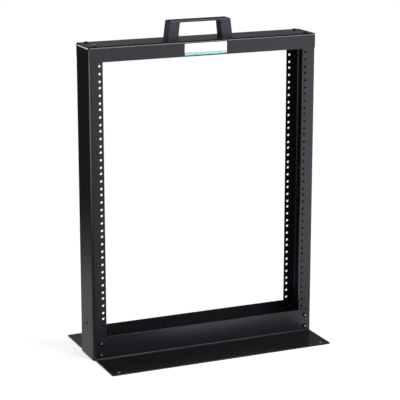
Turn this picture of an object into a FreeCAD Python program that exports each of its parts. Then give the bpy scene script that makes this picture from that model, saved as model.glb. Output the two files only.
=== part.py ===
import FreeCAD, Part
import math
import os

# Two-post open frame rack for a bench top, 13 rack units high, in millimetres.
# X runs across the rack, Y from front to back and Z up. The origin is on the floor,
# under the middle of the rack. All sheet pieces are bent from one gauge of steel.

# Sheet steel and its bends
sheet = 2.5
bend_inside = 2.5
bend_outside = bend_inside + sheet

# Rack standard: a unit has a hole near each end and one midway, on a line beside the opening
unit_height = 44.45
units = 13
unit_hole_margin = 6.35
hole_edge = 6.55
rack_hole_diameter = 5.5

# Posts
opening_width = 452.0
flange_width = 30.0
post_depth = 76.2
unit_gap = 1.6
tab_length = 30.0
tab_relief = 1.1
relief_depth = 1.0
flange_gap = 3.0
side_hole_diameter = 7.0
side_hole_height = 74.0

# Base angles: each end stops short of the post's outer face
base_setback = 4.0
base_leg_height = 50.8
foot_length = 101.6
foot_corner = 3.0
leg_corner = 4.5
anchor_diameter = 6.8
anchor_edge = 11.7
anchor_inset = 18.0

# Top crossbar: each end stops short of the post's outer face
crossbar_setback = 2.0
crossbar_height = 31.75
crossbar_corner = 3.0

# Fasteners: shank, head and nut sizes
bolt_shank = 6.0
bolt_head_diameter = 10.5
bolt_head_height = 3.3
bolt_end = 1.5
bolt_inset = 16.0
bolt_above_floor = 13.5
bolt_below_edge = 12.3
nut_width = 10.0
nut_height = 5.0
screw_shank = 5.0
screw_head_diameter = 9.5
screw_head_height = 3.0
screw_length = 12.0
screw_inset = 18.0
screw_edge = 7.0
head_rim = 1.5
head_bevel = 1.8
screw_tip = 0.8
hole_clearance = 0.3
thread_clearance = 0.05

# Carry handle
handle_depth = 25.4
handle_height = 39.7
handle_base = 148.0
handle_top = 138.0
grip_opening_base = 98.0
grip_opening_top = 91.0
grip_thickness = 4.5
handle_shoulder = 4.0
handle_inner_corner = 3.0
handle_edge = 1.8
pad_height = 4.0
groove_width = 1.0
groove_depth = 0.8
handle_screw_length = 16.0
socket_end = 1.0

# Places that follow from the sizes above
outer_x = opening_width / 2 + flange_width
front_y = post_depth / 2
base_length = 2 * (outer_x - base_setback)
base_end = base_length / 2
crossbar_length = 2 * (outer_x - crossbar_setback)
crossbar_end = crossbar_length / 2
unit_floor = base_leg_height + unit_gap
unit_ceiling = unit_floor + units * unit_height
crossbar_foot = unit_ceiling + unit_gap
rack_top = crossbar_foot + crossbar_height
tab_top = rack_top - sheet
flange_top = tab_top - flange_gap
relief_bottom = tab_top - bend_outside - relief_depth
tab_half = front_y - bend_outside - tab_relief
foot_y = front_y + foot_length
bolt_x = outer_x - bolt_inset
screw_x = outer_x - screw_inset
screw_y = tab_half - screw_edge
anchor_x = base_end - anchor_inset
anchor_y = foot_y - anchor_edge
hole_x = opening_width / 2 + hole_edge
handle_screw_x = (handle_base + grip_opening_base) / 4

SIDES = {"left": -1, "right": 1}
ENDS = {"front": -1, "rear": 1}
LEVELS = {"lower": bolt_above_floor, "upper": base_leg_height - bolt_below_edge}
X_AXIS = FreeCAD.Vector(1, 0, 0)
Y_AXIS = FreeCAD.Vector(0, 1, 0)
Z_AXIS = FreeCAD.Vector(0, 0, 1)


def rounded_face(corners, place):
    """Face from corners given as (u, v, radius); place turns u and v into a point."""
    points = [place(u, v) for u, v, radius in corners]
    edges = []
    last = None
    first = None
    for i, (u, v, radius) in enumerate(corners):
        here = points[i]
        before = (points[i - 1] - here).normalize()
        after = (points[(i + 1) % len(points)] - here).normalize()
        start = end = here
        if radius > 0:
            half = before.getAngle(after) / 2
            setback = radius / math.tan(half)
            start = here + before * setback
            end = here + after * setback
            middle = (before + after).normalize() * (radius / math.sin(half) - radius)
            edges.append(Part.Arc(start, here + middle, end).toShape())
        if last is not None:
            edges.append(Part.LineSegment(last, start).toShape())
        else:
            first = start
        last = end
    edges.append(Part.LineSegment(last, first).toShape())
    return Part.Face(Part.Wire(Part.__sortEdges__(edges)))


def cylinder(diameter, length, base, axis):
    """Round bar of a diameter and length, from its base centre along an axis."""
    return Part.makeCylinder(diameter / 2, length, base, axis)


def across_sheet(diameter, x, y, z, axis):
    """Round cutter through one sheet, centred on a point and running along an axis."""
    reach = 4 * sheet
    centre = FreeCAD.Vector(x, y, z)
    return cylinder(diameter, reach, centre - axis * (reach / 2), axis)


def rack_hole_heights():
    """Heights of the mounting holes, three in each rack unit."""
    places = (unit_hole_margin, unit_height / 2, unit_height - unit_hole_margin)
    return [unit_floor + unit * unit_height + place for unit in range(units) for place in places]


# Post: a channel with its web outwards, two drilled flanges and a top tab bent inwards
def make_post(side):
    web = outer_x
    lip = outer_x - flange_width
    inner_y = front_y - sheet
    section = rounded_face([
        (lip, -front_y, 0),
        (web, -front_y, bend_outside),
        (web, front_y, bend_outside),
        (lip, front_y, 0),
        (lip, inner_y, 0),
        (web - sheet, inner_y, bend_inside),
        (web - sheet, -inner_y, bend_inside),
        (lip, -inner_y, 0),
    ], lambda x, y: FreeCAD.Vector(side * x, y, 0))
    channel = section.extrude(Z_AXIS * flange_top)

    notch_half = front_y - bend_outside
    notch = Part.makeBox(2 * sheet, 2 * notch_half, flange_top - relief_bottom + sheet)
    notch.translate(FreeCAD.Vector(side * web - sheet, -notch_half, relief_bottom))

    tab_section = rounded_face([
        (web, relief_bottom, 0),
        (web, tab_top, bend_outside),
        (web - tab_length, tab_top, 0),
        (web - tab_length, tab_top - sheet, 0),
        (web - sheet, tab_top - sheet, bend_inside),
        (web - sheet, relief_bottom, 0),
    ], lambda x, z: FreeCAD.Vector(side * x, -tab_half, z))
    tab = tab_section.extrude(Y_AXIS * (2 * tab_half))

    post = channel.cut(notch).fuse(tab)
    cutters = []
    for end in ENDS.values():
        flange_y = end * (front_y - sheet / 2)
        for z in rack_hole_heights():
            cutters.append(across_sheet(rack_hole_diameter, side * hole_x, flange_y, z, Y_AXIS))
        for z in LEVELS.values():
            cutters.append(across_sheet(bolt_shank + 2 * hole_clearance, side * bolt_x, flange_y, z, Y_AXIS))
        cutters.append(across_sheet(screw_shank + 2 * thread_clearance, side * screw_x,
                                    end * screw_y, tab_top - sheet / 2, Z_AXIS))
    cutters.append(across_sheet(side_hole_diameter, side * (web - sheet / 2), 0, side_hole_height, X_AXIS))
    return post.cut(Part.makeCompound(cutters)).removeSplitter()


# Base angle: a leg bolted to the flanges, bent outwards into a flat foot
def make_base_angle(end):
    section = rounded_face([
        (front_y, base_leg_height, 0),
        (front_y, 0, bend_outside),
        (foot_y, 0, 0),
        (foot_y, sheet, 0),
        (front_y + sheet, sheet, bend_inside),
        (front_y + sheet, base_leg_height, 0),
    ], lambda y, z: FreeCAD.Vector(-base_end, end * y, z))
    angle = section.extrude(X_AXIS * base_length)
    angle = round_corners(angle, Y_AXIS, leg_corner, lambda at: at.z > base_leg_height - 1)
    angle = round_corners(angle, Z_AXIS, foot_corner, lambda at: abs(at.y) > foot_y - 1)
    cutters = []
    for side in SIDES.values():
        for z in LEVELS.values():
            cutters.append(across_sheet(bolt_shank + 2 * hole_clearance, side * bolt_x,
                                        end * (front_y + sheet / 2), z, Y_AXIS))
        cutters.append(across_sheet(anchor_diameter, side * anchor_x, end * anchor_y, sheet / 2, Z_AXIS))
    return angle.cut(Part.makeCompound(cutters))


def round_corners(shape, direction, radius, chosen):
    """Fillet the short straight edges along a direction whose middle is chosen."""
    edges = []
    for edge in shape.Edges:
        if not isinstance(edge.Curve, Part.Line):
            continue
        along = abs(edge.Curve.Direction.dot(direction)) > 0.99
        if along and edge.Length < 1.5 * sheet and chosen(edge.CenterOfMass):
            edges.append(edge)
    return shape.makeFillet(radius, edges)


# Top crossbar: an upside-down channel over the tops of both posts
def make_top_crossbar():
    outer_y = front_y + sheet
    section = rounded_face([
        (-outer_y, crossbar_foot, 0),
        (-outer_y, rack_top, bend_outside),
        (outer_y, rack_top, bend_outside),
        (outer_y, crossbar_foot, 0),
        (front_y, crossbar_foot, 0),
        (front_y, tab_top, bend_inside),
        (-front_y, tab_top, bend_inside),
        (-front_y, crossbar_foot, 0),
    ], lambda y, z: FreeCAD.Vector(-crossbar_end, y, z))
    bar = section.extrude(X_AXIS * crossbar_length)
    bar = round_corners(bar, Y_AXIS, crossbar_corner, lambda at: at.z < crossbar_foot + 1)
    cutters = []
    web_z = rack_top - sheet / 2
    for side in SIDES.values():
        for end in ENDS.values():
            cutters.append(across_sheet(screw_shank + 2 * hole_clearance, side * screw_x,
                                        end * screw_y, web_z, Z_AXIS))
        cutters.append(across_sheet(screw_shank + 2 * hole_clearance, side * handle_screw_x, 0, web_z, Z_AXIS))
    return bar.cut(Part.makeCompound(cutters))


# Carry handle: one moulded bow on two legs that taper upwards, each with a groove above its pad
def leg_span(height):
    """Inner and outer distance of a leg from the middle, at a height above the crossbar."""
    inner_lean = (grip_opening_base - grip_opening_top) / 2 / (handle_height - grip_thickness)
    outer_lean = (handle_base - handle_top) / 2 / handle_height
    return grip_opening_base / 2 - inner_lean * height, handle_base / 2 - outer_lean * height


def make_carry_handle():
    front = -handle_depth / 2
    gap_base, base = leg_span(0)
    gap_top = leg_span(handle_height - grip_thickness)[0]
    shoulder = leg_span(handle_height)[1]
    top = rack_top + handle_height
    under = top - grip_thickness
    outline = rounded_face([
        (-base, rack_top, 0),
        (-shoulder, top, handle_shoulder),
        (shoulder, top, handle_shoulder),
        (base, rack_top, 0),
        (gap_base, rack_top, 0),
        (gap_top, under, handle_inner_corner),
        (-gap_top, under, handle_inner_corner),
        (-gap_base, rack_top, 0),
    ], lambda x, z: FreeCAD.Vector(x, front, z))
    handle = outline.extrude(Y_AXIS * handle_depth)
    rims = []
    for edge in handle.Edges:
        middle = edge.CenterOfMass
        if abs(abs(middle.y) + front) < 0.01 and middle.z > rack_top + 0.01:
            rims.append(edge)
    handle = handle.makeFillet(handle_edge, rims)
    for side in SIDES.values():
        handle = handle.cut(make_groove(side)).cut(make_socket(side))
    return handle


def make_groove(side):
    """Ring cut a little way into a leg, all round, just above its pad."""
    inner, outer = leg_span(pad_height + groove_width / 2)
    centre = FreeCAD.Vector(side * (inner + outer) / 2, 0, rack_top + pad_height)
    width = outer - inner
    core = centred_box(width - 2 * groove_depth, handle_depth - 2 * groove_depth, groove_width, centre)
    return centred_box(2 * width, 2 * handle_depth, groove_width, centre).cut(core)


def make_socket(side):
    """Blind bore that takes the handle's screw from below."""
    depth = handle_screw_length - sheet + socket_end
    return cylinder(screw_shank + 2 * thread_clearance, depth,
                    FreeCAD.Vector(side * handle_screw_x, 0, rack_top), Z_AXIS)


def centred_box(width, depth, height, base):
    """Box whose underside is centred on a point."""
    return Part.makeBox(width, depth, height, base - FreeCAD.Vector(width / 2, depth / 2, 0))


# Pan-head screw or bolt: a bevelled head that seats on a face, and a plain shank with a bevelled tip
def make_pan_head(shank, head_diameter, head_height, length, seat, inward):
    """Screw turned about its axis, with its head's underside on seat and its shank running inward."""
    head_radius = head_diameter / 2
    shank_radius = shank / 2
    outline = [
        (0, -head_height),
        (head_radius - head_bevel, -head_height),
        (head_radius, -head_rim),
        (head_radius, 0),
        (shank_radius, 0),
        (shank_radius, length - screw_tip),
        (shank_radius - screw_tip, length),
        (0, length),
        (0, -head_height),
    ]
    points = [seat + X_AXIS * out + inward * along for out, along in outline]
    return Part.Face(Part.makePolygon(points)).revolve(seat, inward, 360)


# Hexagon nut: a prism on a face with a bore that clears the thread
def make_nut(seat, outward):
    corner_radius = nut_width / 2 / math.cos(math.pi / 6)
    corners = []
    for i in range(7):
        angle = i * math.pi / 3
        corners.append(seat + X_AXIS * (corner_radius * math.cos(angle)) + Z_AXIS * (corner_radius * math.sin(angle)))
    prism = Part.Face(Part.makePolygon(corners)).extrude(outward * nut_height)
    bore = cylinder(bolt_shank + 2 * thread_clearance, nut_height, seat, outward)
    return prism.cut(bore)


def make_base_bolt(side, end, z):
    inward = Y_AXIS * -end
    seat = FreeCAD.Vector(side * bolt_x, end * (front_y + sheet), z)
    length = 2 * sheet + nut_height + bolt_end
    return make_pan_head(bolt_shank, bolt_head_diameter, bolt_head_height, length, seat, inward)


def make_base_nut(side, end, z):
    return make_nut(FreeCAD.Vector(side * bolt_x, end * (front_y - sheet), z), Y_AXIS * -end)


def make_top_screw(side, end):
    seat = FreeCAD.Vector(side * screw_x, end * screw_y, rack_top)
    return make_pan_head(screw_shank, screw_head_diameter, screw_head_height, screw_length, seat, Z_AXIS * -1)


def make_handle_screw(side):
    seat = FreeCAD.Vector(side * handle_screw_x, 0, tab_top)
    return make_pan_head(screw_shank, screw_head_diameter, screw_head_height, handle_screw_length, seat, Z_AXIS)


# Every piece by its name
def make_pieces():
    pieces = {"top_crossbar": make_top_crossbar(), "carry_handle": make_carry_handle()}
    for end_name, end in ENDS.items():
        pieces[f"{end_name}_base_angle"] = make_base_angle(end)
    for side_name, side in SIDES.items():
        pieces[f"{side_name}_post"] = make_post(side)
        pieces[f"{side_name}_handle_screw"] = make_handle_screw(side)
        for end_name, end in ENDS.items():
            pieces[f"{side_name}_{end_name}_top_screw"] = make_top_screw(side, end)
            for level_name, z in LEVELS.items():
                place = f"{side_name}_{end_name}_{level_name}"
                pieces[f"{place}_bolt"] = make_base_bolt(side, end, z)
                pieces[f"{place}_nut"] = make_base_nut(side, end, z)
    return pieces


os.makedirs("parts", exist_ok=True)
for name, shape in make_pieces().items():
    shape.exportStep(f"parts/{name}.step")
    print(name, shape.isValid(), len(shape.Solids), round(shape.Volume, 1))
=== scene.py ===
"""Finish of a two-post open frame rack: coatings, fasteners, label plate, light and camera."""

import math
from collections import namedtuple

import bpy
import numpy as np
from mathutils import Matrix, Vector


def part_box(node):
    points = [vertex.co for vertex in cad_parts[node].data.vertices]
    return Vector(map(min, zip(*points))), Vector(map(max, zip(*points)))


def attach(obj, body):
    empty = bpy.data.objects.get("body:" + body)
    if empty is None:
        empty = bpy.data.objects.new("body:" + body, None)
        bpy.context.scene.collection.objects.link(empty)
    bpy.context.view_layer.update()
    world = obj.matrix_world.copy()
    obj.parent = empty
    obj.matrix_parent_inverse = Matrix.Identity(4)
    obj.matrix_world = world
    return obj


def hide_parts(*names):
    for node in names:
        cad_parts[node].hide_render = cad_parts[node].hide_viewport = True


bl_info = {
    "name": "Open frame rack finish",
    "version": (1, 0, 0),
    "blender": (4, 5, 0),
    "location": "3D View > Sidebar > Rack",
    "description": "Coats, fastens, labels and lights a bench-top open frame rack",
    "category": "Object",
}

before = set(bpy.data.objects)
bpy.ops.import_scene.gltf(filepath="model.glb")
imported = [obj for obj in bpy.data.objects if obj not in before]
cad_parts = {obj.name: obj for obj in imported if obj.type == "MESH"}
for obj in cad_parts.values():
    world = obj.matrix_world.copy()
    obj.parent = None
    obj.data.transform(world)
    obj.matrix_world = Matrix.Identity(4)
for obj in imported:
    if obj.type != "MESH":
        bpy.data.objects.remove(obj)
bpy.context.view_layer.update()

MM = 0.001
FULL_TURN = 2 * math.pi
# Turns each screw's recess further than the last one's, so that no two stand alike
GOLDEN_TURN = math.pi * (3 - math.sqrt(5))

SIDES = ("left", "right")
ENDS = ("front", "rear")
LEVELS = ("lower", "upper")
SHEET_PIECES = ("left_post", "right_post", "top_crossbar", "front_base_angle", "rear_base_angle")

# Sheet steel and its holes, in millimetres: each place stands for its mirror images too
SHEET = 2.5
ANCHOR_PLACE = (234.0, 128.0, SHEET / 2)
ANCHOR_RADIUS = 3.4
SIDE_HOLE_PLACE = (256.0 - SHEET / 2, 0.0, 74.0)
SIDE_HOLE_RADIUS = 3.5
# A hole's wall lies within this share of its radius, and of the sheet to each side of its middle
WALL_REACH = 1.06
WALL_SHARE = 0.4

# Screws whose recess is painted bright bare steel, a painted glint, and the plane across their axes. Their
# mirror images are all the other bolts and screws but the handle's two, which stay dark
GLINT_SCREWS = {"right_rear_lower_bolt": (1, 0, 1), "right_rear_upper_bolt": (1, 0, 1),
               "right_rear_top_screw": (1, 1, 0)}
GLINT_RADIUS = 1.9

# Noise scales, in grains to a metre: orange peel 1.5 mm from crest to crest, film thickness 110 mm,
# mould grain 0.7 mm, flow of the melt 33 mm and blotches of oxide 2 mm
PEEL_SCALE = 650.0
FILM_SCALE = 9.0
GRAIN_SCALE = 1400.0
FLOW_SCALE = 30.0
BLOTCH_SCALE = 500.0


def linear(hex_colour):
    """sRGB hex colour as linear red, green, blue and alpha."""
    values = [int(hex_colour[i:i + 2], 16) / 255 for i in (1, 3, 5)]
    return tuple(v / 12.92 if v <= 0.04045 else ((v + 0.055) / 1.055) ** 2.4 for v in values) + (1.0,)


def shade(colour, factor):
    """An opaque colour made darker or lighter by a factor."""
    return [v * factor for v in colour[:3]] + [1.0]


def add_node(tree, kind, inputs=(), **settings):
    """A shader node with its settings; a socket among the inputs is linked, any other value is set."""
    node = tree.nodes.new(kind)
    for key, value in settings.items():
        setattr(node, key, value)
    for key, value in dict(inputs).items():
        if isinstance(value, bpy.types.NodeSocket):
            tree.links.new(value, node.inputs[key])
        else:
            node.inputs[key].default_value = value
    return node


def new_material(name):
    """An empty node material, its tree and its output node."""
    material = bpy.data.materials.new(name)
    material.use_nodes = True
    material.node_tree.nodes.clear()
    output = material.node_tree.nodes.new("ShaderNodeOutputMaterial")
    return material, material.node_tree, output


def fetch_material(name, make):
    """The material of that name, made once."""
    return bpy.data.materials.get(name) or make()


def mesh_object(name, points, faces, material):
    """An object of one material in the scene, from lists of points in metres and of faces."""
    mesh = bpy.data.meshes.new(name)
    mesh.from_pydata(points, [], faces)
    mesh.validate()
    mesh.materials.append(material)
    piece = bpy.data.objects.new(name, mesh)
    bpy.context.scene.collection.objects.link(piece)
    return piece


def signed_volume(points, faces):
    """Volume inside a closed surface: the sum of the tetrahedra from the origin to each triangle fan."""
    total = 0.0
    for face in faces:
        fan = points[face]
        total += np.einsum("ij,ij->", np.cross(fan[:, 1], fan[:, 2]), fan[:, 0])
        if fan.shape[1] == 4:
            total += np.einsum("ij,ij->", np.cross(fan[:, 2], fan[:, 3]), fan[:, 0])
    return total


def closed_piece(name, points, faces, material, smooth_degrees):
    """Mesh object from points in metres and arrays of quads and triangles, turned to face outwards."""
    if signed_volume(points, faces) < 0:
        faces = [face[:, ::-1] for face in faces]
    piece = mesh_object(name, points.tolist(), [row for face in faces for row in face.tolist()], material)
    piece.data.shade_smooth()
    piece.data.set_sharp_from_angle(angle=math.radians(smooth_degrees))
    return piece


def ring_angles(columns):
    """Angles of the columns of a grid that joins into a ring, as one row."""
    return np.linspace(0, FULL_TURN, columns, endpoint=False)[None, :]


def round_ring(values, angle):
    """One row of a grid for each value, the same at every angle."""
    return np.array(values, float)[:, None] * np.ones_like(angle)


def turned_points(radius, height, angle, seat, inward):
    """Points at a radius and height about an axis: seat + inward * height + a spoke at each angle."""
    across = np.array((1.0, 0.0, 0.0))
    beside = np.cross(inward, across)
    spoke = np.cos(angle)[..., None] * across + np.sin(angle)[..., None] * beside
    points = seat + inward * height[..., None] + spoke * radius[..., None]
    return points.reshape(-1, 3)


def grid_faces(rows, columns, wrap_rows=False):
    """Quads between neighbouring rows of a grid whose columns join into a ring."""
    row_count = rows if wrap_rows else rows - 1
    row = np.arange(row_count)[:, None]
    column = np.arange(columns)[None, :]
    after = (column + 1) % columns
    below = (row + 1) % rows
    quads = np.stack([row * columns + column, row * columns + after,
                      below * columns + after, below * columns + column], axis=-1)
    return quads.reshape(-1, 4)


def pole_faces(pole, ring_start, columns, flip):
    """Triangles from one pole vertex to a ring of vertices."""
    column = np.arange(columns)
    after = (column + 1) % columns
    ends = (ring_start + after, ring_start + column) if flip else (ring_start + column, ring_start + after)
    return np.stack([np.full(columns, pole), *ends], axis=-1)


# Properties: sizes in millimetres and colours that a user may change
class RackFinish(bpy.types.PropertyGroup):
    steel_colour: bpy.props.FloatVectorProperty(
        name="Steel colour", description="Colour of the powder coat", subtype="COLOR", size=4,
        min=0, max=1, default=linear("#1a191e"))
    handle_colour: bpy.props.FloatVectorProperty(
        name="Handle colour", description="Colour of the moulded handle", subtype="COLOR", size=4,
        min=0, max=1, default=linear("#1b1c2e"))
    fastener_colour: bpy.props.FloatVectorProperty(
        name="Fastener colour", description="Colour of the oxide finish", subtype="COLOR", size=4,
        min=0, max=1, default=linear("#343436"))


class RackFasteners(bpy.types.PropertyGroup):
    bolt_head_height: bpy.props.FloatProperty(
        name="Bolt head height", description="Height of a base bolt's head, in mm", default=3.3, min=1)
    screw_head_height: bpy.props.FloatProperty(
        name="Screw head height", description="Height of a top or handle screw's head, in mm",
        default=3.0, min=1)
    bolt_radius: bpy.props.FloatProperty(
        name="Bolt radius", description="Radius over a base bolt's thread, in mm", default=3.0, min=1)
    screw_radius: bpy.props.FloatProperty(
        name="Screw radius", description="Radius over a top or handle screw's thread, in mm",
        default=2.5, min=1)
    bolt_pitch: bpy.props.FloatProperty(
        name="Bolt pitch", description="Distance between the threads of a base bolt, in mm",
        default=1.0, min=0.3)
    screw_pitch: bpy.props.FloatProperty(
        name="Screw pitch", description="Distance between the threads of a screw, in mm",
        default=0.8, min=0.3)
    columns: bpy.props.IntProperty(
        name="Columns", description="Faces round each screw and bolt", default=96, min=24)


class RackLabel(bpy.types.PropertyGroup):
    width: bpy.props.FloatProperty(
        name="Label width", description="Width of the label, in mm", default=95.0, min=5)
    height: bpy.props.FloatProperty(
        name="Label height", description="Height of the label, in mm", default=24.5, min=5)
    thickness: bpy.props.FloatProperty(
        name="Label thickness", description="Thickness of the label, in mm", default=0.5, min=0.1)
    middle: bpy.props.FloatProperty(
        name="Label middle", description="Height of the label's middle above the floor, in mm",
        default=646.6)
    band_height: bpy.props.FloatProperty(
        name="Band height", description="Height of the printed band, in mm", default=6.0, min=0)
    film_colour: bpy.props.FloatVectorProperty(
        name="Film colour", description="Colour of the label's film", subtype="COLOR", size=4,
        min=0, max=1, default=linear("#fcfdfd"))
    band_colour: bpy.props.FloatVectorProperty(
        name="Band colour", description="Colour of the printed band", subtype="COLOR", size=4,
        min=0, max=1, default=linear("#a5d7d8"))


class RackStage(bpy.types.PropertyGroup):
    azimuth: bpy.props.FloatProperty(
        name="Azimuth", description="Camera's angle to the left of the front", subtype="ANGLE",
        default=math.radians(23.76))
    elevation: bpy.props.FloatProperty(
        name="Elevation", description="Camera's angle above the level", subtype="ANGLE",
        default=math.radians(14.05))
    distance: bpy.props.FloatProperty(
        name="Distance", description="From the camera to the aim point", subtype="DISTANCE",
        default=3.391, min=0.1)
    lens: bpy.props.FloatProperty(
        name="Lens", description="Focal length", unit="CAMERA", default=143.26, min=1)
    floor_lift: bpy.props.FloatProperty(
        name="Floor lift", description="Glow that brings the lit floor up to white", default=0.66, min=0)
    aim: bpy.props.FloatVectorProperty(
        name="Aim", description="Point that the camera looks at", subtype="TRANSLATION", size=3,
        default=(0.0004, -0.0097, 0.3170))


# Powder-coated sheet steel: polyester powder baked on, so a satin film with a fine orange-peel skin
def powder_coat():
    colour = bpy.context.scene.rack_finish.steel_colour
    material, tree, output = new_material("powder_coated_steel_satin_black")
    place = add_node(tree, "ShaderNodeTexCoord").outputs["Object"]
    peel = add_node(tree, "ShaderNodeTexNoise", {
        "Vector": place, "Scale": PEEL_SCALE, "Detail": 2.0, "Roughness": 0.5})
    # The film's thickness is uneven, so the sheen drifts across each face
    film = add_node(tree, "ShaderNodeTexNoise", {
        "Vector": place, "Scale": FILM_SCALE, "Detail": 3.0, "Roughness": 0.55})
    sheen = add_node(tree, "ShaderNodeMapRange", {
        "Value": film.outputs["Fac"], "From Min": 0.3, "From Max": 0.7, "To Min": 0.25, "To Max": 0.29})
    tone = add_node(tree, "ShaderNodeMix", {
        "Factor": peel.outputs["Fac"], "A": shade(colour, 0.88), "B": shade(colour, 1.12)},
        data_type="RGBA")
    # The coat wraps over the sheet's edges, which look rounded and catch a thin light
    edge = add_node(tree, "ShaderNodeBevel", {"Radius": 0.5 * MM}, samples=4)
    bump = add_node(tree, "ShaderNodeBump", {
        "Strength": 0.04, "Distance": 0.05 * MM, "Height": peel.outputs["Fac"],
        "Normal": edge.outputs["Normal"]})
    coat = add_node(tree, "ShaderNodeBsdfPrincipled", {
        "Base Color": tone.outputs["Result"], "Roughness": sheen.outputs["Result"], "IOR": 1.5,
        "Normal": bump.outputs["Normal"]})
    # The wall of the side hole is painted near black and matt, a painted shade in the hole
    painted_hole_shade = add_node(tree, "ShaderNodeBsdfPrincipled", {
        "Base Color": linear("#050505"), "Roughness": 0.9, "Specular IOR Level": 0.1})
    coat_and_hole_shade = add_node(tree, "ShaderNodeMixShader", {
        0: hole_wall(tree, place, SIDE_HOLE_PLACE, "X", SIDE_HOLE_RADIUS),
        1: coat.outputs["BSDF"], 2: painted_hole_shade.outputs["BSDF"]})
    # The walls of the two front anchor holes are painted bright bare steel, a painted highlight; the rear
    # ones, in shade, keep the coat
    bare_glint = add_node(tree, "ShaderNodeBsdfPrincipled", {
        "Base Color": linear("#9c9a96"), "Roughness": 0.35, "Metallic": 1.0})
    split = add_node(tree, "ShaderNodeSeparateXYZ", {"Vector": place})
    front = add_node(tree, "ShaderNodeMath", {0: split.outputs["Y"], 1: 0.0}, operation="LESS_THAN")
    glint_walls = add_node(tree, "ShaderNodeMath", {
        0: front.outputs["Value"], 1: hole_wall(tree, place, ANCHOR_PLACE, "Z", ANCHOR_RADIUS)},
        operation="MULTIPLY")
    mix = add_node(tree, "ShaderNodeMixShader", {
        0: glint_walls.outputs["Value"], 1: coat_and_hole_shade.outputs["Shader"], 2: bare_glint.outputs["BSDF"]})
    tree.links.new(mix.outputs["Shader"], output.inputs["Surface"])
    return material


def near_axis(tree, place, middle, plane, radius):
    """1 within a radius of the axes through a point and its mirror images, measured in a plane."""
    folded = add_node(tree, "ShaderNodeVectorMath", {0: place}, operation="ABSOLUTE")
    offset = add_node(tree, "ShaderNodeVectorMath", {
        0: folded.outputs["Vector"], 1: [v * MM for v in middle]}, operation="SUBTRACT")
    level = add_node(tree, "ShaderNodeVectorMath", {
        0: offset.outputs["Vector"], 1: plane}, operation="MULTIPLY")
    reach = add_node(tree, "ShaderNodeVectorMath", {0: level.outputs["Vector"]}, operation="LENGTH")
    near = add_node(tree, "ShaderNodeMath", {
        0: reach.outputs["Value"], 1: radius * MM}, operation="LESS_THAN")
    return near.outputs["Value"]


def hole_wall(tree, place, middle, axis, radius):
    """1 on the walls of a hole and of its mirror images, short of the rims that the coat wraps over."""
    index = "XYZ".index(axis)
    plane = [float(i != index) for i in range(3)]
    near = near_axis(tree, place, middle, plane, WALL_REACH * radius)
    split = add_node(tree, "ShaderNodeSeparateXYZ", {"Vector": place})
    depth = add_node(tree, "ShaderNodeMath", {0: split.outputs[axis]}, operation="ABSOLUTE")
    inside = add_node(tree, "ShaderNodeMath", {
        0: depth.outputs["Value"], 1: middle[index] * MM, 2: WALL_SHARE * SHEET * MM}, operation="COMPARE")
    wall = add_node(tree, "ShaderNodeMath", {0: near, 1: inside.outputs["Value"]}, operation="MULTIPLY")
    return wall.outputs["Value"]


# Injection-moulded nylon: a spark-eroded mould leaves a fine matt grain
def moulded_nylon():
    colour = bpy.context.scene.rack_finish.handle_colour
    material, tree, output = new_material("moulded_nylon_grained")
    place = add_node(tree, "ShaderNodeTexCoord").outputs["Object"]
    grain = add_node(tree, "ShaderNodeTexNoise", {
        "Vector": place, "Scale": GRAIN_SCALE, "Detail": 2.0, "Roughness": 0.6})
    # The melt cools as it flows, so the sheen drifts along the moulding
    flow = add_node(tree, "ShaderNodeTexNoise", {
        "Vector": place, "Scale": FLOW_SCALE, "Detail": 2.0, "Roughness": 0.5})
    sheen = add_node(tree, "ShaderNodeMapRange", {
        "Value": flow.outputs["Fac"], "From Min": 0.3, "From Max": 0.7, "To Min": 0.36, "To Max": 0.42})
    tone = add_node(tree, "ShaderNodeMix", {
        "Factor": grain.outputs["Fac"], "A": shade(colour, 0.85), "B": shade(colour, 1.15)},
        data_type="RGBA")
    bump = add_node(tree, "ShaderNodeBump", {
        "Strength": 0.2, "Distance": 0.04 * MM, "Height": grain.outputs["Fac"]})
    shader = add_node(tree, "ShaderNodeBsdfPrincipled", {
        "Base Color": tone.outputs["Result"], "Roughness": sheen.outputs["Result"], "IOR": 1.53,
        "Normal": bump.outputs["Normal"]})
    tree.links.new(shader.outputs["BSDF"], output.inputs["Surface"])
    return material


# Black-oxide steel: a thin oiled conversion film, dark but still metallic, a little blotchy
def black_oxide():
    colour = bpy.context.scene.rack_finish.fastener_colour
    material, tree, output = new_material("black_oxide_steel_oiled")
    place = add_node(tree, "ShaderNodeTexCoord").outputs["Object"]
    blotch = add_node(tree, "ShaderNodeTexNoise", {
        "Vector": place, "Scale": BLOTCH_SCALE, "Detail": 3.0, "Roughness": 0.6})
    sheen = add_node(tree, "ShaderNodeMapRange", {
        "Value": blotch.outputs["Fac"], "From Min": 0.3, "From Max": 0.7, "To Min": 0.14, "To Max": 0.2})
    tone = add_node(tree, "ShaderNodeMix", {
        "Factor": blotch.outputs["Fac"], "A": shade(colour, 0.75), "B": shade(colour, 1.25)},
        data_type="RGBA")
    oxide = add_node(tree, "ShaderNodeBsdfPrincipled", {
        "Base Color": tone.outputs["Result"], "Roughness": sheen.outputs["Result"], "Metallic": 1.0})
    # Bright bare steel in the recess is a painted glint in the middle of each head
    bare_glint = add_node(tree, "ShaderNodeBsdfPrincipled", {
        "Base Color": linear("#cbcac6"), "Roughness": 0.3, "Metallic": 1.0})
    glint_mask = 0.0
    for node, plane in GLINT_SCREWS.items():
        low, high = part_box(node)
        near = near_axis(tree, place, [v / MM for v in (low + high) / 2], plane, GLINT_RADIUS)
        glint_mask = add_node(tree, "ShaderNodeMath", {0: glint_mask, 1: near}, operation="MAXIMUM").outputs["Value"]
    mix = add_node(tree, "ShaderNodeMixShader", {0: glint_mask, 1: oxide.outputs["BSDF"], 2: bare_glint.outputs["BSDF"]})
    tree.links.new(mix.outputs["Shader"], output.inputs["Surface"])
    return material


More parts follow.
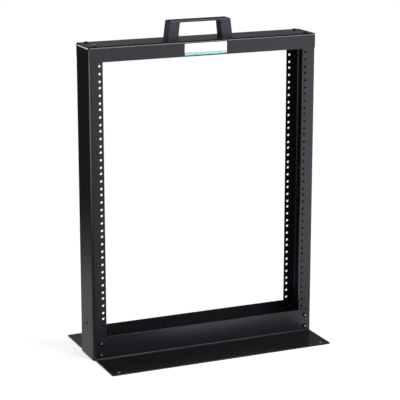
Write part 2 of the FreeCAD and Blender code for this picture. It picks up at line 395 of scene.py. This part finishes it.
def coat_node(node, material):
    """Puts a material on one of the part's own meshes, whose shape stays as it is."""
    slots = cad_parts[node].data.materials
    slots.clear()
    slots.append(material)


class RACK_OT_coat_steel(bpy.types.Operator):
    """Give every sheet piece its powder coat"""
    bl_idname = "rack.coat_steel"
    bl_label = "Coat the sheet steel"

    def execute(self, context):
        material = fetch_material("powder_coated_steel_satin_black", powder_coat)
        for node in SHEET_PIECES:
            coat_node(node, material)
        return {"FINISHED"}


class RACK_OT_finish_handle(bpy.types.Operator):
    """Give the carry handle its grained nylon"""
    bl_idname = "rack.finish_handle"
    bl_label = "Finish the carry handle"

    def execute(self, context):
        coat_node("carry_handle", fetch_material("moulded_nylon_grained", moulded_nylon))
        return {"FINISHED"}


# Fasteners: every screw is one surface turned about its axis, from the recess to the tip
def fastener_place(node, inward):
    """A plain fastener's sizes, the index of its axis, the middle of its outer end and its length, in mm."""
    low, high = (np.array(corner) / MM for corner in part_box(node))
    along = int(np.argmax(np.abs(inward)))
    outer_end = (low + high) / 2
    outer_end[along] = low[along] if inward[along] > 0 else high[along]
    return high - low, along, outer_end, high[along] - low[along]


def cross_recess(radius, angle, reach, wing, depth):
    """Depth of a cross recess: two wings across the axis, sloping up to nothing at their reach.

    A wing's width shrinks by a share of radius / reach, its walls rise within a blend of its width, and
    its floor slopes over a share of its reach."""
    taper = 0.35
    blend = 0.12 * wing
    slope_length = 0.62 * reach
    x = radius * np.cos(angle)
    y = radius * np.sin(angle)
    from_wing = np.minimum(np.abs(x), np.abs(y)) - wing / 2 * (1 - taper * radius / reach)
    inside = np.clip(0.5 - from_wing / blend, 0, 1)
    slope = np.clip((reach - radius) / slope_length, 0, 1)
    return depth * inside * slope


def screw_surface(node, inward, head_height, shank_radius, pitch, turn):
    """Points and faces of a cross-recessed pan-head screw in the place of a plain one.

    The head is a dome of one radius with a rounded rim: its height is sqrt(dome^2 - radius^2) less the
    depth of the dome's centre. The thread is a helix: its radius is the shank's less a triangle wave of
    (height / pitch - angle / full turn)."""
    inward = np.array(inward, float)
    sizes, along, outer_end, whole_length = fastener_place(node, inward)
    seat = outer_end + inward * head_height
    length = whole_length - head_height
    head_radius = sizes[(along + 1) % 3] / 2
    crown_radius = 0.93 * head_radius
    rim = 0.45 * head_height
    rise = head_height - rim
    dome = (head_radius ** 2 + rise ** 2) / (2 * rise)
    tip = 0.8
    crown_rings, edge_rings, rings_per_thread = 34, 5, 8

    angle = ring_angles(bpy.context.scene.rack_fasteners.columns)
    crown_r = round_ring(np.linspace(0, crown_radius, crown_rings), angle)
    crown_h = -(np.sqrt(dome ** 2 - crown_r ** 2) - (dome - rise)) - rim
    edge_top = crown_h[-1, 0]
    crown_h = crown_h + cross_recess(crown_r, angle + turn, reach=0.62 * head_radius,
                                     wing=0.34 * head_radius, depth=0.6 * head_height)

    # The rim bends from the crown's edge to the head's full radius, at 0.6 of its height
    bend = np.linspace(0, math.pi / 2, edge_rings)
    edge_r = round_ring(crown_radius + (head_radius - crown_radius) * np.sin(bend), angle)
    edge_h = round_ring(edge_top + (-0.6 * rim - edge_top) * (1 - np.cos(bend)), angle)
    under_r = round_ring(head_radius * np.array([1.0, 0.97, 0.7]), angle)
    under_h = round_ring([-0.15 * rim, 0.0, 0.0], angle)

    # The thread deepens from nothing over its first pitch, to 0.6 of a pitch
    thread_rings = max(int((length - tip) / pitch * rings_per_thread), rings_per_thread)
    thread_h = round_ring(np.linspace(0, length - tip, thread_rings), angle)
    wave = np.abs(((thread_h / pitch - angle / FULL_TURN) % 1.0) * 2 - 1)
    run_in = np.clip(thread_h / pitch, 0, 1)
    thread_r = shank_radius - 0.6 * pitch * wave * run_in

    # The tip is a cone that closes on a flat end, no wider than the last turn of the thread
    tip_h = round_ring([length - 0.4 * tip, length, length], angle)
    tip_r = round_ring([shank_radius - 0.5 * tip, shank_radius - tip, 0.5 * shank_radius], angle)
    tip_r = np.minimum(tip_r, thread_r[-1:] + 0.2 * tip)

    radius = np.vstack([crown_r[1:], edge_r[1:], under_r, thread_r, tip_r])
    height = np.vstack([crown_h[1:], edge_h[1:], under_h, thread_h, tip_h])
    rows, columns = radius.shape
    ring = turned_points(radius, height, np.broadcast_to(angle, radius.shape), seat, inward)
    poles = [seat + inward * crown_h[0, 0], seat + inward * length]
    fans = np.vstack([pole_faces(rows * columns, 0, columns, True),
                      pole_faces(rows * columns + 1, (rows - 1) * columns, columns, False)])
    return np.vstack([ring, poles]) * MM, [grid_faces(rows, columns), fans]


def nut_surface(node, inward):
    """Points and faces of a hexagon nut: a ring section carried round the axis.

    The outer radius at an angle is half the width across flats divided by the cosine of the angle from
    the nearest flat's middle, cut by a cone of 30 degrees at both faces."""
    inward = np.array(inward, float)
    sizes, along, seat, thickness = fastener_place(node, inward)
    half_width = sizes[2] / 2
    bore = 3.06
    chamfer = 0.45
    face = 0.94 * half_width
    cone = math.tan(math.radians(60))

    columns = 72
    angle = ring_angles(columns)
    flat_angle = (angle + math.pi / 2) % (math.pi / 3) - math.pi / 6
    hexagon = half_width / np.cos(flat_angle)
    # Radius and depth below the face, from the bore to the flats, and the same in reverse at the far face
    near_half = [(np.full_like(hexagon, bore), chamfer), (np.full_like(hexagon, bore + chamfer), 0.0),
                 (np.full_like(hexagon, face), 0.0)]
    near_half += [(np.minimum(hexagon, face + depth * cone), depth) for depth in (0.25, 0.5)]
    near_half += [(hexagon, 0.75)]
    profile = near_half + [(row, thickness - depth) for row, depth in reversed(near_half)]
    radius = np.vstack([row for row, depth in profile])
    height = round_ring([depth for row, depth in profile], angle)
    points = turned_points(radius, height, np.broadcast_to(angle, radius.shape), seat, inward) * MM
    return points, [grid_faces(len(profile), columns, wrap_rows=True)]


def fit_fastener(name, surface, node):
    """A finished fastener in the place of the plain one."""
    material = fetch_material("black_oxide_steel_oiled", black_oxide)
    piece = closed_piece(name, *surface, material, smooth_degrees=35)
    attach(piece, "root")
    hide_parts(node)


class RACK_OT_base_fasteners(bpy.types.Operator):
    """Fit the bolts and nuts that hold the base angles to the posts"""
    bl_idname = "rack.base_fasteners"
    bl_label = "Fit the base bolts and nuts"

    def execute(self, context):
        sizes = context.scene.rack_fasteners
        places = [(side, end, level) for side in SIDES for end in ENDS for level in LEVELS]
        for count, (side, end, level) in enumerate(places, start=1):
            inward = (0, 1, 0) if end == "front" else (0, -1, 0)
            place = f"{side}_{end}_{level}"
            bolt = screw_surface(f"{place}_bolt", inward, sizes.bolt_head_height, sizes.bolt_radius,
                                 sizes.bolt_pitch, count * GOLDEN_TURN)
            fit_fastener(f"{place}_pan_head_bolt", bolt, f"{place}_bolt")
            fit_fastener(f"{place}_hexagon_nut", nut_surface(f"{place}_nut", inward), f"{place}_nut")
        return {"FINISHED"}


class RACK_OT_top_fasteners(bpy.types.Operator):
    """Fit the screws of the crossbar and of the carry handle"""
    bl_idname = "rack.top_fasteners"
    bl_label = "Fit the top screws"

    def execute(self, context):
        sizes = context.scene.rack_fasteners
        screws = [(f"{side}_{end}_top_screw", (0, 0, -1)) for side in SIDES for end in ENDS]
        screws += [(f"{side}_handle_screw", (0, 0, 1)) for side in SIDES]
        for count, (node, inward) in enumerate(screws):
            screw = screw_surface(node, inward, sizes.screw_head_height, sizes.screw_radius,
                                  sizes.screw_pitch, count * GOLDEN_TURN)
            fit_fastener(f"{node}_pan_head", screw, node)
        return {"FINISHED"}


# Label: printed polyester film on the crossbar's front, smooth, and blank but for a band along its foot
def label_film():
    label = bpy.context.scene.rack_label
    material, tree, output = new_material("printed_polyester_film")
    place = add_node(tree, "ShaderNodeTexCoord").outputs["Object"]
    split = add_node(tree, "ShaderNodeSeparateXYZ", {"Vector": place})
    band_top = (label.middle - label.height / 2 + label.band_height) * MM
    band = add_node(tree, "ShaderNodeMath", {0: split.outputs["Z"], 1: band_top}, operation="LESS_THAN")
    film = add_node(tree, "ShaderNodeMix", {
        "Factor": band.outputs["Value"], "A": tuple(label.film_colour), "B": tuple(label.band_colour)},
        data_type="RGBA")
    shader = add_node(tree, "ShaderNodeBsdfPrincipled", {
        "Base Color": film.outputs["Result"], "Roughness": 0.32, "IOR": 1.57})
    tree.links.new(shader.outputs["BSDF"], output.inputs["Surface"])
    return material


def label_surface():
    """Points and faces of a thin plate with rounded corners: a ring section carried round its outline.

    A quarter of the columns runs round each corner: its centre + reach * (cosine, sine) of the angle."""
    label = bpy.context.scene.rack_label
    corner = 1.5
    # Each ring's inset in mm and its share of the thickness, from the back to the rounded front edge
    section = ((0.0, 0.0), (0.0, 0.7), (0.12, 0.95), (0.3, 1.0))
    columns = 96
    per_corner = columns // 4
    column = np.arange(columns)
    quarter = column // per_corner * (math.pi / 2)
    side_x = np.sign(np.cos(quarter + math.pi / 4))
    side_z = np.sign(np.sin(quarter + math.pi / 4))
    spread = quarter + column % per_corner * (math.pi / 2) / (per_corner - 1)
    crossbar_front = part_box("top_crossbar")[0].y / MM
    rows = []
    for inset, share in section:
        reach = corner - inset
        x = side_x * (label.width / 2 - corner) + reach * np.cos(spread)
        z = side_z * (label.height / 2 - corner) + reach * np.sin(spread) + label.middle
        rows.append(np.stack([x, np.full(columns, crossbar_front - share * label.thickness), z], axis=-1))
    count = len(rows)
    poles = [rows[-1].mean(axis=0), rows[0].mean(axis=0)]
    fans = np.vstack([pole_faces(count * columns, (count - 1) * columns, columns, False),
                      pole_faces(count * columns + 1, 0, columns, True)])
    return np.vstack([*rows, poles]) * MM, [grid_faces(count, columns), fans]


class RACK_OT_label(bpy.types.Operator):
    """Stick the label on the crossbar"""
    bl_idname = "rack.label"
    bl_label = "Stick on the label"

    def execute(self, context):
        material = fetch_material("printed_polyester_film", label_film)
        piece = closed_piece("crossbar_label", *label_surface(), material, smooth_degrees=30)
        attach(piece, "root")
        return {"FINISHED"}


# Stage: a pale floor that fades to white, a white surround, one soft lamp and cards. Lengths in metres
FLOOR_RADIUS = 7.0
# Shares of the floor's radius between which it fades to pure white
FLOOR_FADE = (0.12, 0.4)
AMBIENT = 0.38
KEY_TARGET = (0, 0, 0.33)

# A fade runs along a direction, from a card's strength at its start to the last one at its end
Fade = namedtuple("Fade", "direction start end last")
UP = (0, 0, 1)
RIGHT = (1, 0, 0)
FORWARDS = (0, -1, 0)
BACK_LEFT = (-0.36, 0.93, 0)
# Square to the strip of floor below
ACROSS_STRIP = (1, 0.44, 0)

ROOM_HEIGHT = 2.6
ROOM_SIDE = 3.0
ROOM_FRONT = -4.2
ROOM_BACK = 1.6
BACK_CORNER = (-0.30, 0.81)
BACK_WALL = (BACK_CORNER, (ROOM_SIDE, 1.5))
FRONT_SPLIT = (0.86, ROOM_FRONT)

# Rows at which the floor's cards meet, from the front foot's edge outwards, and their outer edges
FOOT_ROW, NEAR_ROW, MID_ROW, FAR_ROW, LAST_ROW = -0.145, -0.27, -0.54, -2.24, -3.8
LEFT_EDGE, NEAR_RIGHT_EDGE, RIGHT_EDGE = -2.4, 0.6, 2.6
# The strip of floor that the left half of the front mirrors: its left edge at each row, and its width
STRIP_LEFT = {FOOT_ROW: -0.254, NEAR_ROW: -0.2, MID_ROW: -0.08, FAR_ROW: 0.668}
STRIP_WIDTH = 0.3
CARD_LIFT = 1.0 * MM


def seen_ray(tree):
    """1 on a ray from the camera, in gloss or through glass, and 0 on a diffuse or shadow ray."""
    path = add_node(tree, "ShaderNodeLightPath")
    seen = add_node(tree, "ShaderNodeMath", {
        0: path.outputs["Is Camera Ray"], 1: path.outputs["Is Glossy Ray"]}, operation="MAXIMUM")
    seen = add_node(tree, "ShaderNodeMath", {
        0: seen.outputs["Value"], 1: path.outputs["Is Transmission Ray"]}, operation="MAXIMUM")
    return seen.outputs["Value"]


def floor_material():
    """Pale matt floor; to the camera and in gloss it is lifted to white, and pure white far out."""
    stage = bpy.context.scene.rack_stage
    material, tree, output = new_material("pale_studio_floor")
    place = add_node(tree, "ShaderNodeTexCoord").outputs["Object"]
    distance = add_node(tree, "ShaderNodeVectorMath", {0: place}, operation="LENGTH")
    start, end = (share * FLOOR_RADIUS for share in FLOOR_FADE)
    fade = add_node(tree, "ShaderNodeMapRange", {
        "Value": distance.outputs["Value"], "From Min": start, "From Max": end})
    lit = add_node(tree, "ShaderNodeBsdfDiffuse", {"Color": linear("#e6e6e6")})
    lift = add_node(tree, "ShaderNodeEmission", {"Color": (1, 1, 1, 1), "Strength": stage.floor_lift})
    white = add_node(tree, "ShaderNodeEmission", {"Color": (1, 1, 1, 1), "Strength": 1.0})
    lifted = add_node(tree, "ShaderNodeAddShader", {0: lit.outputs["BSDF"], 1: lift.outputs["Emission"]})
    shown = add_node(tree, "ShaderNodeMixShader", {
        0: fade.outputs["Result"], 1: lifted.outputs["Shader"], 2: white.outputs["Emission"]})
    mix = add_node(tree, "ShaderNodeMixShader", {
        0: seen_ray(tree), 1: lit.outputs["BSDF"], 2: shown.outputs["Shader"]})
    tree.links.new(mix.outputs["Shader"], output.inputs["Surface"])
    return material


def make_floor():
    """A level disc: rings of a radius that grows by even steps, each carried round the middle."""
    columns, rings = 64, 12
    angle = ring_angles(columns)
    reach = round_ring(np.linspace(FLOOR_RADIUS / rings, FLOOR_RADIUS, rings), angle)
    points = np.stack([reach * np.cos(angle), reach * np.sin(angle), 0 * reach], axis=-1).reshape(-1, 3)
    points = np.vstack([points, [[0, 0, 0]]])
    faces = grid_faces(rings, columns).tolist() + pole_faces(rings * columns, 0, columns, False).tolist()
    floor = mesh_object("floor", points.tolist(), faces, floor_material())


def make_card(name, colour, strength, points, fade=None):
    """A flat card that shows only in gloss, as a photographer's flag or reflector does."""
    material, tree, output = new_material(name)
    glow = add_node(tree, "ShaderNodeEmission", {"Color": linear(colour), "Strength": strength})
    if fade:
        place = add_node(tree, "ShaderNodeTexCoord").outputs["Object"]
        along = add_node(tree, "ShaderNodeVectorMath", {0: place, 1: fade.direction}, operation="DOT_PRODUCT")
        ramp = add_node(tree, "ShaderNodeMapRange", {
            "Value": along.outputs["Value"], "From Min": fade.start, "From Max": fade.end,
            "To Min": strength, "To Max": fade.last}, interpolation_type="SMOOTHSTEP")
        tree.links.new(ramp.outputs["Result"], glow.inputs["Strength"])
    tree.links.new(glow.outputs["Emission"], output.inputs["Surface"])
    card = mesh_object(name, points, [range(len(points))], material)
    card.visible_camera = False
    card.visible_diffuse = False
    card.visible_shadow = False
    card.visible_transmission = False


def upright_card(name, colour, strength, plan, low, high, fade=None):
    """A card that stands on a line of the floor plan, between two heights."""
    start, end = plan
    make_card(name, colour, strength, [(*start, low), (*end, low), (*end, high), (*start, high)], fade)


def floor_card(name, colour, strength, outline, fade=None, lift=CARD_LIFT):
    """A card that lies on the floor, or on another card if its lift is larger."""
    make_card(name, colour, strength, [(x, y, lift) for x, y in outline], fade)


def strip_right(row):
    """Right edge of the strip of floor at a row."""
    return STRIP_LEFT[row] + STRIP_WIDTH


def strip_outline(near, far):
    """Corners of the strip of floor between two rows."""
    return [(STRIP_LEFT[near], near), (strip_right(near), near), (strip_right(far), far),
            (STRIP_LEFT[far], far)]


def make_wall_cards():
    """Walls behind, for the left web and the faces that look up, and beyond the floor's cards in front."""
    upright_card("left_flag", "#ffffff", 0.17, ((-2.2, 0.03), BACK_CORNER), low=0.0, high=ROOM_HEIGHT,
                 fade=Fade(UP, start=0.0, end=0.16, last=0.032))
    upright_card("back_wall", "#fff0fc", 0.21, BACK_WALL, low=0.45, high=1.2)
    upright_card("back_wall_head", "#141414", 1.0, BACK_WALL, low=1.2, high=ROOM_HEIGHT)
    upright_card("back_wall_foot", "#fff8fc", 0.27, BACK_WALL, low=0.0, high=0.45,
                 fade=Fade(RIGHT, start=0.30, end=0.55, last=0.09))
    upright_card("front_wall_left", "#080808", 1.0, ((-ROOM_SIDE, ROOM_FRONT), FRONT_SPLIT),
                 low=0.0, high=ROOM_HEIGHT)
    upright_card("front_wall", "#f4f4ff", 0.8, (FRONT_SPLIT, (ROOM_SIDE, ROOM_FRONT)),
                 low=0.0, high=ROOM_HEIGHT, fade=Fade(UP, start=0.9, end=1.5, last=0.065))


def make_floor_cards():
    """Cards on the floor, for the foot of the left web and the faces that look forwards; their strengths
    paint the floor's light and shade as the gloss sees it.
    """
    floor_card("left_back_floor", "#ffffff", 0.43, [(-0.26, 0.142), (-0.26, 1.2), (-2.2, 0.4), (-2.2, 0.1)],
               fade=Fade(BACK_LEFT, start=0.52, end=0.96, last=0.17))
    floor_card("left_floor", "#ffffff", 0.45, [
        (STRIP_LEFT[FOOT_ROW], FOOT_ROW), (-0.26, 0.14), (LEFT_EDGE, 0.0), (LEFT_EDGE, FAR_ROW),
        (STRIP_LEFT[FAR_ROW], FAR_ROW)])
    floor_card("left_near_floor", "#f0f0ff", 0.2, strip_outline(FOOT_ROW, NEAR_ROW),
               fade=Fade(ACROSS_STRIP, start=-0.22, end=-0.04, last=1.9))
    floor_card("left_mid_floor", "#f0f0ff", 0.56, strip_outline(NEAR_ROW, MID_ROW))
    floor_card("left_far_floor", "#f0f0ff", 0.85, strip_outline(MID_ROW, FAR_ROW),
               fade=Fade(FORWARDS, start=0.9, end=1.9, last=0.0))
    # A dark wedge out from the left corner, over the cards that it crosses
    floor_card("corner_floor", "#080808", 1.0, [
        (-0.33, FOOT_ROW), (LEFT_EDGE, -3.1), (LEFT_EDGE, LAST_ROW), (0.76, LAST_ROW), (-0.219, FOOT_ROW)],
        lift=2 * CARD_LIFT)
    floor_card("right_near_floor", "#f0f0ff", 1.9, [
        (strip_right(FOOT_ROW), FOOT_ROW), (strip_right(NEAR_ROW), NEAR_ROW), (NEAR_RIGHT_EDGE, NEAR_ROW),
        (NEAR_RIGHT_EDGE, FOOT_ROW)], fade=Fade(ACROSS_STRIP, start=0.0, end=0.25, last=0.75))
    floor_card("right_floor", "#f4f0ff", 1.15, [
        (strip_right(NEAR_ROW), NEAR_ROW), (strip_right(FAR_ROW), FAR_ROW), (RIGHT_EDGE, FAR_ROW),
        (RIGHT_EDGE, NEAR_ROW)], fade=Fade(FORWARDS, start=0.3, end=1.0, last=1.6))
    floor_card("far_floor", "#f2f0ff", 2.0, [
        (LEFT_EDGE, FAR_ROW), (RIGHT_EDGE, FAR_ROW), (RIGHT_EDGE, LAST_ROW), (LEFT_EDGE, LAST_ROW)])
    # Painted shadow on the floor between the posts' flanges, a dark card seen in gloss
    floor_card("painted_floor_shadow", "#1c1c1c", 1.0, [
        (-0.25, -0.035), (0.25, -0.035), (0.25, 0.035), (-0.25, 0.035)])


def make_reflectors():
    """Bright cards for the highlights along bends and rims, under a dark ceiling."""
    upright_card("near_reflector", "#fff8f4", 11.0, ((-0.15, -0.62), (0.8, -0.56)), low=0.98, high=1.32,
                 fade=Fade(RIGHT, start=0.3, end=0.7, last=9.5))
    upright_card("front_reflector", "#fff8f4", 11.0, ((-0.1, -1.2), (1.2, -1.2)), low=1.5, high=2.4,
                 fade=Fade(RIGHT, start=0.45, end=0.8, last=3.0))
    upright_card("left_reflector", "#fff0e4", 0.0, ((-0.66, 0.01), (-0.44, -0.40)), low=0.08, high=0.62,
                 fade=Fade(UP, start=0.08, end=0.50, last=4.0))
    upright_card("rim_reflector", "#ffffff", 6.0, ((-0.42, 0.24), (-0.29, 0.30)), low=0.72, high=0.82)
    make_card("ceiling_flag", "#0a0a0a", 1.0, [
        (-ROOM_SIDE, ROOM_FRONT, ROOM_HEIGHT), (ROOM_SIDE, ROOM_FRONT, ROOM_HEIGHT),
        (ROOM_SIDE, ROOM_BACK, ROOM_HEIGHT), (-ROOM_SIDE, ROOM_BACK, ROOM_HEIGHT)])


def make_lamp(name, place, target, size, power):
    """A soft area lamp aimed at a point."""
    data = bpy.data.lights.new(name, "AREA")
    data.shape = "RECTANGLE"
    data.size, data.size_y = size
    data.energy = power
    lamp = bpy.data.objects.new(name, data)
    lamp.location = place
    lamp.rotation_euler = (Vector(target) - Vector(place)).to_track_quat("-Z", "Y").to_euler()
    lamp.visible_camera = False
    lamp.visible_glossy = False
    bpy.context.scene.collection.objects.link(lamp)


def make_world():
    """White to the camera and in gloss, and a plain ambient light for everything else."""
    world = bpy.data.worlds.new("white_surround")
    world.use_nodes = True
    tree = world.node_tree
    tree.nodes.clear()
    light = add_node(tree, "ShaderNodeBackground", {"Color": (1, 1, 1, 1), "Strength": AMBIENT})
    white = add_node(tree, "ShaderNodeBackground", {"Color": (1, 1, 1, 1), "Strength": 1.0})
    mix = add_node(tree, "ShaderNodeMixShader", {
        0: seen_ray(tree), 1: light.outputs["Background"], 2: white.outputs["Background"]})
    output = add_node(tree, "ShaderNodeOutputWorld")
    tree.links.new(mix.outputs["Shader"], output.inputs["Surface"])
    bpy.context.scene.world = world


def make_camera():
    """Camera on a sphere about the aim point, without shift or depth of field."""
    stage = bpy.context.scene.rack_stage
    data = bpy.data.cameras.new("camera")
    data.lens = stage.lens
    data.sensor_width = 36
    camera = bpy.data.objects.new("camera", data)
    around, above = stage.azimuth, stage.elevation
    back = Vector((-math.sin(around) * math.cos(above), -math.cos(around) * math.cos(above), math.sin(above)))
    camera.location = Vector(stage.aim) + back * stage.distance
    camera.rotation_euler = (-back).to_track_quat("-Z", "Y").to_euler()
    bpy.context.scene.collection.objects.link(camera)
    bpy.context.scene.camera = camera


class RACK_OT_stage(bpy.types.Operator):
    """Set out the floor, surround, lamp, cards and camera"""
    bl_idname = "rack.stage"
    bl_label = "Set the stage"

    def execute(self, context):
        make_floor()
        make_world()
        make_lamp("front_key", place=(1.9, -3.0, 1.25), target=KEY_TARGET, size=(2.8, 2.2), power=105)
        make_wall_cards()
        make_floor_cards()
        make_reflectors()
        make_camera()
        bpy.context.scene.view_settings.view_transform = "Standard"
        return {"FINISHED"}


class RACK_PT_finish(bpy.types.Panel):
    """Buttons and settings for the rack's finish"""
    bl_idname = "RACK_PT_finish"
    bl_label = "Open frame rack"
    bl_space_type = "VIEW_3D"
    bl_region_type = "UI"
    bl_category = "Rack"

    def draw(self, context):
        for operator in OPERATORS:
            self.layout.operator(operator.bl_idname)
        for group in GROUPS:
            settings = getattr(context.scene, group)
            for name in settings.bl_rna.properties.keys():
                if name not in {"rna_type", "name"}:
                    self.layout.prop(settings, name)


OPERATORS = (RACK_OT_coat_steel, RACK_OT_finish_handle, RACK_OT_base_fasteners, RACK_OT_top_fasteners,
             RACK_OT_label, RACK_OT_stage)
GROUPS = {"rack_finish": RackFinish, "rack_fasteners": RackFasteners, "rack_label": RackLabel,
          "rack_stage": RackStage}
CLASSES = (*GROUPS.values(), *OPERATORS, RACK_PT_finish)


def register():
    for cls in CLASSES:
        bpy.utils.register_class(cls)
    for name, group in GROUPS.items():
        setattr(bpy.types.Scene, name, bpy.props.PointerProperty(type=group))


def unregister():
    for name in GROUPS:
        delattr(bpy.types.Scene, name)
    for cls in reversed(CLASSES):
        bpy.utils.unregister_class(cls)


def main():
    """Makes the finish step by step."""
    register()
    bpy.ops.rack.coat_steel()
    bpy.ops.rack.finish_handle()
    bpy.ops.rack.base_fasteners()
    bpy.ops.rack.top_fasteners()
    bpy.ops.rack.label()
    bpy.ops.rack.stage()


if __name__ == "__main__":
    main()
